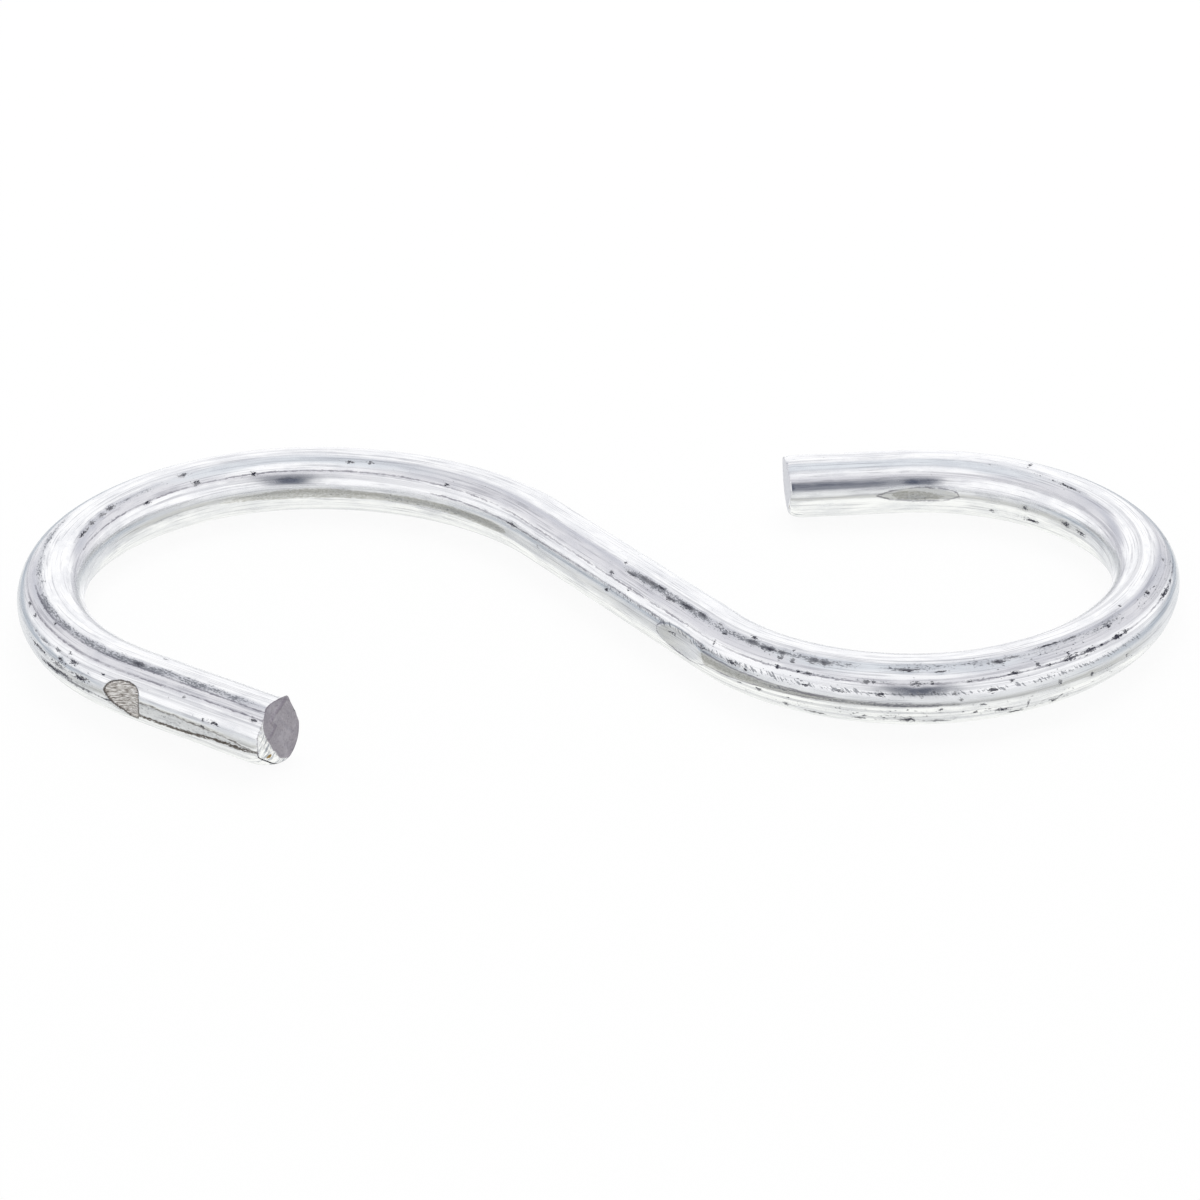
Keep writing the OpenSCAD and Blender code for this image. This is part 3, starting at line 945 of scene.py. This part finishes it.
def cut_masks(g, n):
    """Places cut, scraped, dented or rubbed, the painted reflection of the table's shadow, and the
    parts of the sheared ends with painted shade along their folds.
    """
    cuts = SimpleNamespace()
    gouge = g.add(g.field("gouge"), g.sway(n.grain, 0.2))
    cuts.gouge = g.ramp(gouge, -0.01, 0.02)
    cuts.gouge_rim = g.between(gouge, -0.04, 0.05, 0.02)
    scrape = g.add(g.field("scrape"), g.sway(n.dashes, 0.5))
    cuts.scrape = g.ramp(scrape, -0.02, 0.03)
    scrape_rim = g.between(scrape, -0.06, 0.04, 0.02)
    cuts.scrape_rim = g.times(scrape_rim, g.ramp(n.patches, 0.34, 0.54, 0.4, 1.0))
    cuts.tear = g.ramp(g.add(g.field("tear"), g.sway(n.scribble, 0.6)), -0.02, 0.02)
    cuts.dent = g.ramp(g.add(g.field("dent"), g.sway(n.dashes, 0.02)), 0.0, 0.02)
    # Olive patches: rubbed places, and under the far arc a painted reflection of the table's shadow
    rubbed = g.ramp(g.add(g.field("rubbed"), g.sway(n.dashes, 0.3)), -0.04, 0.1)
    cuts.rubbed = g.times(rubbed, g.ramp(n.scribble, 0.42, 0.56, 0.55, 1.0))
    cuts.torn = g.ramp(g.add(g.field("fracture"), g.sway(n.grain, 0.3)), -0.015, 0.015)
    # Painted shade along the face's folds
    cuts.fold = g.ramp(g.add(g.field("fold"), g.sway(n.grain, 1.0)), 0.12, 0.6)
    cuts.lip = g.field("lip")
    inside = g.field("inside")
    cuts.on_face = g.ramp(inside, -0.02, 0.01)
    cuts.face_rim = g.times(g.between(inside, 0.0, 0.05, 0.02), cuts.torn)
    return cuts


# The ways across and towards the wide end's bite, as shares of the wire's left and up, and
# the place of the brown speck on its lip, across and towards
BITE_ACROSS = (0.766, 0.643)
BITE_TOWARD = (0.643, -0.766)
SPECK_AT = (-0.07, 1.3)


def blade_lines(g, n):
    """Furrows that the blades left in the gouge and on the lips, and the brown speck."""
    fan = g.add(g.times(n.across, 3.4), g.times(n.s, 0.9))
    n.gouge_lines = g.noise(g.vector(g.times(n.s, 0.5), fan, 0.0), 4.0, 5.0, 0.75)
    across, toward = (
        g.add(g.times(n.y, way[0]), g.times(n.z, way[1])) for way in (BITE_ACROSS, BITE_TOWARD)
    )
    lines_at = g.vector(across, g.times(toward, 0.15), g.times(n.s, 0.2))
    n.lip_lines = g.noise(lines_at, 5.5, 3.0, 0.65)
    square_off = [
        g.maths("POWER", g.add(value, -at), 2.0) for value, at in zip((across, toward), SPECK_AT)
    ]
    off = g.add(g.maths("SQRT", g.add(*square_off)), g.times(n.grain, 0.16))
    n.brown = g.ramp(off, 0.2, 0.25, 1.0, 0.0)


def zinc_colour(g, n, dirt, cuts):
    """Bright plating with its drawing lines, dull blotches, rubbed places, the painted reflection
    of the table's shadow, and streaks.
    """
    line_share = g.times(g.ramp(n.hair_lines, 0.52, 0.63), g.ramp(n.patches, 0.35, 0.6, 0.15, 0.58))
    scratched = g.times(cuts.scrape, g.ramp(n.scribble, 0.52, 0.62))
    return g.lay(g.mix(g.ramp(n.blotches, 0.4, 0.66), ZINC_BRIGHT, ZINC_DULL), (
        (g.times(g.ramp(n.broad_lines, 0.45, 0.62), 0.45), ZINC_DULL),
        (line_share, LINE_GREY),
        (g.ramp(n.drawn_lines, 0.53, 0.66, 0.0, 0.4), LINE_GREY),
        (g.times(cuts.dent, 0.12), STREAK_GREY),
        # Olive over rubbed places, partly a painted reflection of the table's shadow
        (g.times(cuts.rubbed, 0.75), RUB_AND_SHADOW_OLIVE),
        (g.times(dirt.haze, 0.42), STREAK_GREY),
        (g.times(dirt.scratchy, 0.75), STREAK_DARK),
        (g.times(dirt.scores, 0.8), SCORE_PLUM),
        (g.times(dirt.slants, 0.7), STREAK_DARK),
        (g.times(cuts.scrape, 0.24), STREAK_GREY),
        (g.times(scratched, 0.7), STREAK_DARK),
        (g.times(cuts.scrape_rim, 0.85), GOUGE_DARK),
        (cuts.tear, GOUGE_DARK),
    ))


def torn_colour(g, n, cuts):
    """Bare torn steel with painted shade along its folds; the tight end's is pale."""
    return g.lay(STEEL_GREY, (
        (g.ramp(n.grain, 0.42, 0.75), STEEL_DARK),
        # Painted shade along the folds
        (g.times(cuts.fold, 0.6), STEEL_DARK),
        (g.ramp(n.blotches, 0.5, 0.62, 0.0, 0.35), STEEL_LIGHT),
        (g.ramp(n.s, -1.0, 1.0), STEEL_PALE),
    ))


def finish_colour(g, n, dirt, cuts):
    """The plating, and over it the lip, the specks and pits, the gouge and the torn steel."""
    gouge_tone = g.lay(GOUGE_PALE, (
        (g.ramp(n.gouge_lines, 0.44, 0.54), GOUGE_GREY),
        (g.ramp(n.gouge_lines, 0.54, 0.61), GOUGE_DARK),
    ))
    return g.lay(zinc_colour(g, n, dirt, cuts), (
        (cuts.lip, g.mix(g.ramp(n.lip_lines, 0.5, 0.6), ZINC_LIP, STREAK_GREY)),
        (dirt.specks, PIT_DARK),
        (g.times(dirt.pits, g.ramp(n.patches, 0.35, 0.6, 0.6, 1.0)), PIT_DARK),
        (cuts.gouge, gouge_tone),
        (g.times(cuts.gouge_rim, 0.85), GOUGE_DARK),
        (cuts.torn, torn_colour(g, n, cuts)),
        (g.times(cuts.face_rim, 0.7), STEEL_DARK),
        (g.times(n.brown, cuts.on_face), BROWN_SPECK),
    ))


def finish_roughness(g, n, dirt, cuts):
    """Rougher where it is dull, dirty, scraped or bare."""
    dark = g.most(g.most(dirt.specks, dirt.pits), g.times(dirt.scratchy, 0.7))
    rough = g.blend(g.ramp(n.blotches, 0.4, 0.66), 0.19, 0.27)
    rough = g.add(rough, g.sway(n.drawn_lines, 0.25))
    rough = g.blend(dirt.haze, rough, 0.36)
    rough = g.blend(g.times(cuts.lip, 0.8), rough, 0.18)
    rough = g.blend(g.most(dark, g.times(cuts.scrape, 0.55)), rough, 0.5)
    return g.blend(g.most(cuts.gouge, cuts.torn), rough, 0.52)


def finish_height(g, n, dirt, cuts):
    """Relief in millimetres too fine for the mesh."""
    plated = g.ramp(cuts.torn, 0.0, 1.0, 1.0, 0.0)
    height = g.times(n.grain, 0.0002)
    for mark, where, much in (
        (n.drawn_lines, plated, 0.0014), (n.hair_lines, plated, 0.0004),
        (n.broad_lines, plated, 0.01), (n.grain, cuts.torn, 0.015),
        (n.lip_lines, cuts.lip, 0.035), (n.gouge_lines, cuts.gouge, 0.04),
        (n.dashes, cuts.scrape, 0.012),
    ):
        height = g.add(height, g.times(g.times(mark, where), much))
    height = g.add(height, g.times(dirt.pits, -0.015))
    height = g.add(height, g.times(dirt.specks, -0.008))
    return g.add(height, g.times(g.most(dirt.scratchy, dirt.slants), -0.003))


def zinc_material():
    """Bright zinc-plated drawn wire, with its wear, its cuts and its sheared ends."""
    material = bpy.data.materials.new("bright_zinc_wire")
    g = Graph(material)
    n = wire_noises(g)
    dirt = dirt_masks(g, n)
    cuts = cut_masks(g, n)
    bump = g.node("ShaderNodeBump", {"Distance": MM, "Height": finish_height(g, n, dirt, cuts)})
    shader = g.node("ShaderNodeBsdfPrincipled", {
        "Base Color": finish_colour(g, n, dirt, cuts),
        "Metallic": 1.0,
        "Roughness": finish_roughness(g, n, dirt, cuts),
        "Normal": bump.outputs[0],
    })
    g.node("ShaderNodeOutputMaterial", {0: shader.outputs[0]})
    return material


# The floor: half its width in metres and its paint; how far the camera sees it as lit white,
# and how far the metal sees through it to the studio's own table
FLOOR_HALF = 1.5
FLOOR_WHITE = (0.94, 0.94, 0.94, 1)
FLOOR_LIT = 0.91
FLOOR_UNSEEN = 0.88


def make_floor():
    """A plain pale table. The camera sees it lit up to white, with the shadow kept faint."""
    half = FLOOR_HALF
    mesh = bpy.data.meshes.new("pale_floor")
    corners = [(-half, -half, 0), (half, -half, 0), (half, half, 0), (-half, half, 0)]
    mesh.from_pydata(corners, [], [(0, 1, 2, 3)])
    material = bpy.data.materials.new("pale_table")
    g = Graph(material)
    path = g.node("ShaderNodeLightPath").outputs
    plain = g.node("ShaderNodeBsdfDiffuse", {0: FLOOR_WHITE}).outputs[0]
    lit = g.node("ShaderNodeEmission").outputs[0]
    clear = g.node("ShaderNodeBsdfTransparent").outputs[0]
    lit_share = g.times(path["Is Camera Ray"], FLOOR_LIT)
    seen = g.node("ShaderNodeMixShader", {0: lit_share, 1: plain, 2: lit}).outputs[0]
    clear_share = g.times(path["Is Glossy Ray"], FLOOR_UNSEEN)
    mirrored = g.node("ShaderNodeMixShader", {0: clear_share, 1: seen, 2: clear})
    g.node("ShaderNodeOutputMaterial", {0: mirrored.outputs[0]})
    mesh.materials.append(material)
    return placed(mesh)


# Tones of the studio that the bright metal mirrors
ROOM = (0.82, 0.815, 0.85, 1)
CEILING = (0.8, 0.835, 0.88, 1)
CARD = (1.1, 1.1, 1.11, 1)
FRAME_GREY = (0.62, 0.63, 0.69, 1)
CAMERA_GAP = (0.05, 0.065, 0.11, 1)
HORIZON = (0.4, 0.46, 0.53, 1)
TABLE_FAR = (0.86, 0.875, 0.885, 1)
TABLE_SHADE = (0.56, 0.565, 0.53, 1)
TABLE_NEAR = (1.08, 1.09, 1.055, 1)


# The cards at the sides: the way to their middle, and how high their top edge stands there
CARD_WAY = math.radians(130)
CARD_TOP = math.radians(42)
WHITE = (1, 1, 1, 1)


def room_tone(g, way, rise, side):
    """The room over the table: ceiling, cards, frames at the back, the dark by the camera."""
    over_camera = g.times(g.between(rise, 56, 84, 7), g.ramp(side, 110, 145))
    back_frames = g.times(g.between(side, 27, 41, 5), g.between(rise, 12, 52, 6))
    back_light = g.times(g.between(side, -40, 24, 4), g.between(rise, -60, 60, 5))
    sideways = g.times(g.maths("ABSOLUTE", way[0]), math.sin(CARD_WAY))
    toward = g.add(sideways, g.times(way[1], math.cos(CARD_WAY)))
    below_top = g.add(g.times(toward, math.tan(CARD_TOP)), g.times(way[2], -1))
    cards = g.times(g.ramp(below_top, -0.05, 0.05), g.ramp(side, 30, 50))
    gap_side = g.add(side, g.ramp(rise, 14, 26, -4.0, 0.0))
    gap_side = g.add(gap_side, g.ramp(way[0], -0.01, 0.01, -7.0, 0.0))
    gap = g.times(g.ramp(gap_side, 157, 165), g.between(rise, 4, 37, 6))
    return g.lay(ROOM, (
        (g.ramp(rise, 55, 70), CEILING),
        (over_camera, CARD),
        (back_frames, FRAME_GREY),
        (back_light, CARD),
        (g.times(cards, g.ramp(rise, -3, 2)), CARD),
        (gap, CAMERA_GAP),
    ))


def table_tone(g, rise, side):
    """The table as the metal mirrors it: far, shaded, at its edge, and near."""
    shade = g.times(g.ramp(rise, -34, -31), g.ramp(rise, -23, -16, 1.0, 0.0))
    shade = g.times(shade, g.ramp(side, 50, 90))
    edge = g.times(g.between(rise, -13, -3, 3), g.ramp(side, 120, 80))
    near = g.ramp(rise, -32, -38)
    return g.lay(TABLE_FAR, ((shade, TABLE_SHADE), (edge, HORIZON), (near, TABLE_NEAR)))


def make_world():
    """White for the camera and plain light for matt things; for metal, a studio of cards.

    Angles are in degrees: rise is up from level, side is 0 at the back and 180 at the camera.
    """
    world = bpy.data.worlds.new("soft_studio")
    bpy.context.scene.world = world
    g = Graph(world)
    way = g.split(g.node("ShaderNodeTexCoord").outputs["Generated"])
    level = g.maths("SQRT", g.add(g.times(way[0], way[0]), g.times(way[1], way[1])))
    rise = g.times(g.maths("ARCTAN2", way[2], level), 180 / math.pi)
    side = g.times(g.maths("ARCTAN2", g.maths("ABSOLUTE", way[0]), way[1]), 180 / math.pi)
    under = g.times(g.ramp(rise, 1, -3), g.ramp(side, 8, 14))
    on_table = g.most(under, g.ramp(rise, -22, -32))
    tone = g.mix(on_table, room_tone(g, way, rise, side), table_tone(g, rise, side))
    path = g.node("ShaderNodeLightPath").outputs
    mirror = g.most(path["Is Glossy Ray"], path["Is Transmission Ray"])
    colour = g.lay(WHITE, ((mirror, tone), (path["Is Camera Ray"], WHITE)))
    dim = g.blend(path["Is Diffuse Ray"], 1.0, 0.8)
    light = g.node("ShaderNodeBackground", {0: colour, 1: dim})
    g.node("ShaderNodeOutputWorld", {0: light.outputs[0]})


# The lamp: its side and place in metres, its watts, and its tilt to the camera's side
LAMP_SIZE = 0.5
LAMP_PLACE = (0.05, 0.35, 0.6)
LAMP_WATTS = 1.6
LAMP_TILT = math.radians(-30)


def make_lamp():
    """One large soft lamp above and behind, which throws the faint shadow forwards."""
    light = bpy.data.lights.new("soft_box", "AREA")
    light.shape = "SQUARE"
    light.size = LAMP_SIZE
    light.energy = LAMP_WATTS
    lamp = placed(light)
    lamp.location = LAMP_PLACE
    lamp.rotation_euler = (LAMP_TILT, 0, 0)
    lamp.visible_glossy = False


# The camera, fitted to the photograph: what it looks at, how far off, how high, and its roll
CAMERA_AIM = (0.104 * MM, 2.641 * MM, 0.0)
CAMERA_OFF = 201.48 * MM
CAMERA_UP = math.radians(26.837)
CAMERA_ROLL = math.radians(-1.015)
CAMERA_LENS = 99.545
SENSOR_WIDTH = 36
NEAREST_SEEN = 0.01


def make_camera():
    """The camera where the photograph's was, as fitted to the hook's outline."""
    camera_data = bpy.data.cameras.new("photo_camera")
    camera_data.sensor_width = SENSOR_WIDTH
    camera_data.lens = CAMERA_LENS
    camera_data.clip_start = NEAREST_SEEN
    camera = placed(camera_data)
    c = math.cos(CAMERA_UP)
    u = math.sin(CAMERA_UP)
    forward = np.array([0, c, -u])
    right = np.array([math.cos(CAMERA_ROLL), 0, 0]) + math.sin(CAMERA_ROLL) * np.array([0, u, c])
    up = np.cross(right, forward)
    place = np.array(CAMERA_AIM) - CAMERA_OFF * forward
    rows = np.stack([right, up, -forward, place], 1)
    camera.matrix_world = Matrix([*rows.tolist(), [0, 0, 0, 1]])
    bpy.context.scene.camera = camera


wire = make_wire()
wire.data.materials.append(zinc_material())
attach(wire, "root")
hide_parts("strap_hook")
make_floor()
make_world()
make_lamp()
make_camera()
bpy.context.scene.view_settings.view_transform = "Standard"
